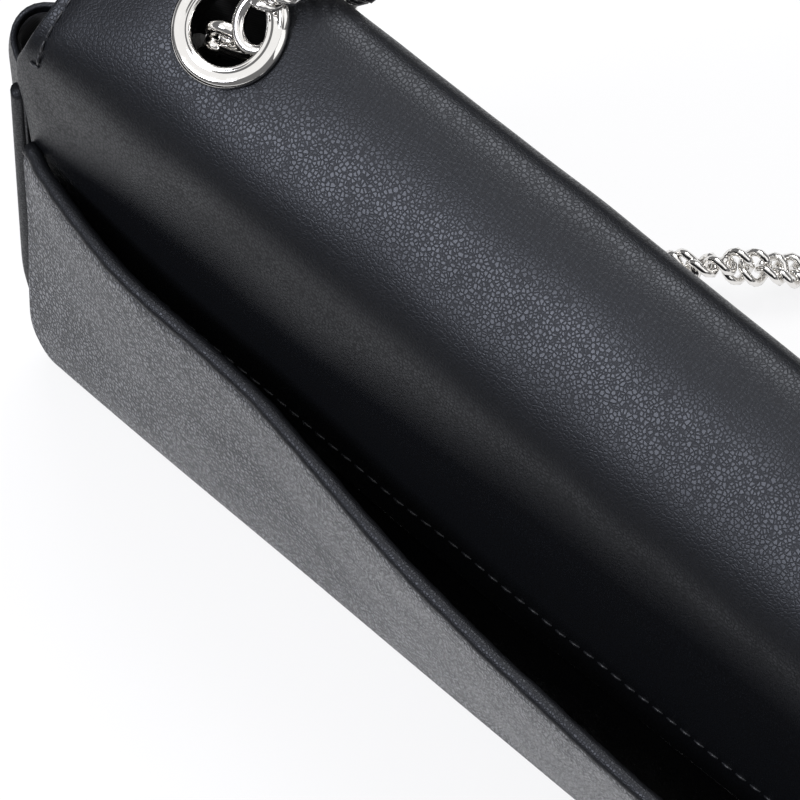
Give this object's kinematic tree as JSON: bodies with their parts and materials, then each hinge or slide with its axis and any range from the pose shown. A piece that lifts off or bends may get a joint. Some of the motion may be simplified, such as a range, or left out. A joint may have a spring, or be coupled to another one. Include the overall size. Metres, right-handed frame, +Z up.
{
  "type": "shoulder bag",
  "caption": "Small flap shoulder bag of pebbled leather with a chain strap through two metal eyelets and a slouching open pocket on its back.",
  "frame": {"origin": "centre of the underside of the base", "axes": "+X towards the end that is on the left when the bag is seen from behind, +Y towards the back with the open pocket, +Z up"},
  "size_m": [0.2818, 0.1951, 0.163],
  "materials": {
    "black_leather": "satin pebbled grain",
    "stiffening_board": "matte",
    "lining_cloth": "plain weave",
    "polished_metal": "polished"
  },
  "bodies": {
    "body": {"base_panel": "black_leather", "base_board": "stiffening_board", "base_lining": "lining_cloth", "front_panel": "black_leather", "front_board": "stiffening_board", "front_lining": "lining_cloth", "back_panel": "black_leather", "back_wall": "black_leather", "back_board": "stiffening_board", "back_lining": "lining_cloth", "back_pocket_panel": "black_leather", "back_pocket_lining": "lining_cloth", "back_pocket_lip": "black_leather", "gusset_left": "black_leather", "gusset_right": "black_leather", "gusset_lining_left": "lining_cloth", "gusset_lining_right": "lining_cloth", "side_welt_left": "black_leather", "side_welt_right": "black_leather", "chain_strap": "polished_metal", "front_magnet": "polished_metal", "front_magnet_washer": "polished_metal"},
    "flap": {"flap_leather": "black_leather", "flap_board": "stiffening_board", "flap_lining": "lining_cloth", "eyelet_left": "polished_metal", "eyelet_right": "polished_metal", "eyelet_washer_left": "polished_metal", "eyelet_washer_right": "polished_metal", "chain_bar_left": "polished_metal", "chain_bar_right": "polished_metal", "flap_magnet": "polished_metal"}
  },
  "joints": [
    {"name": "flap_hinge", "type": "hinge", "parent": "body", "child": "flap", "pos_m": [0, 0.031, 0.119], "axis": [-1, 0, 0], "range_deg": [0, 115], "deforming": ["chain_strap"]}
  ]
}
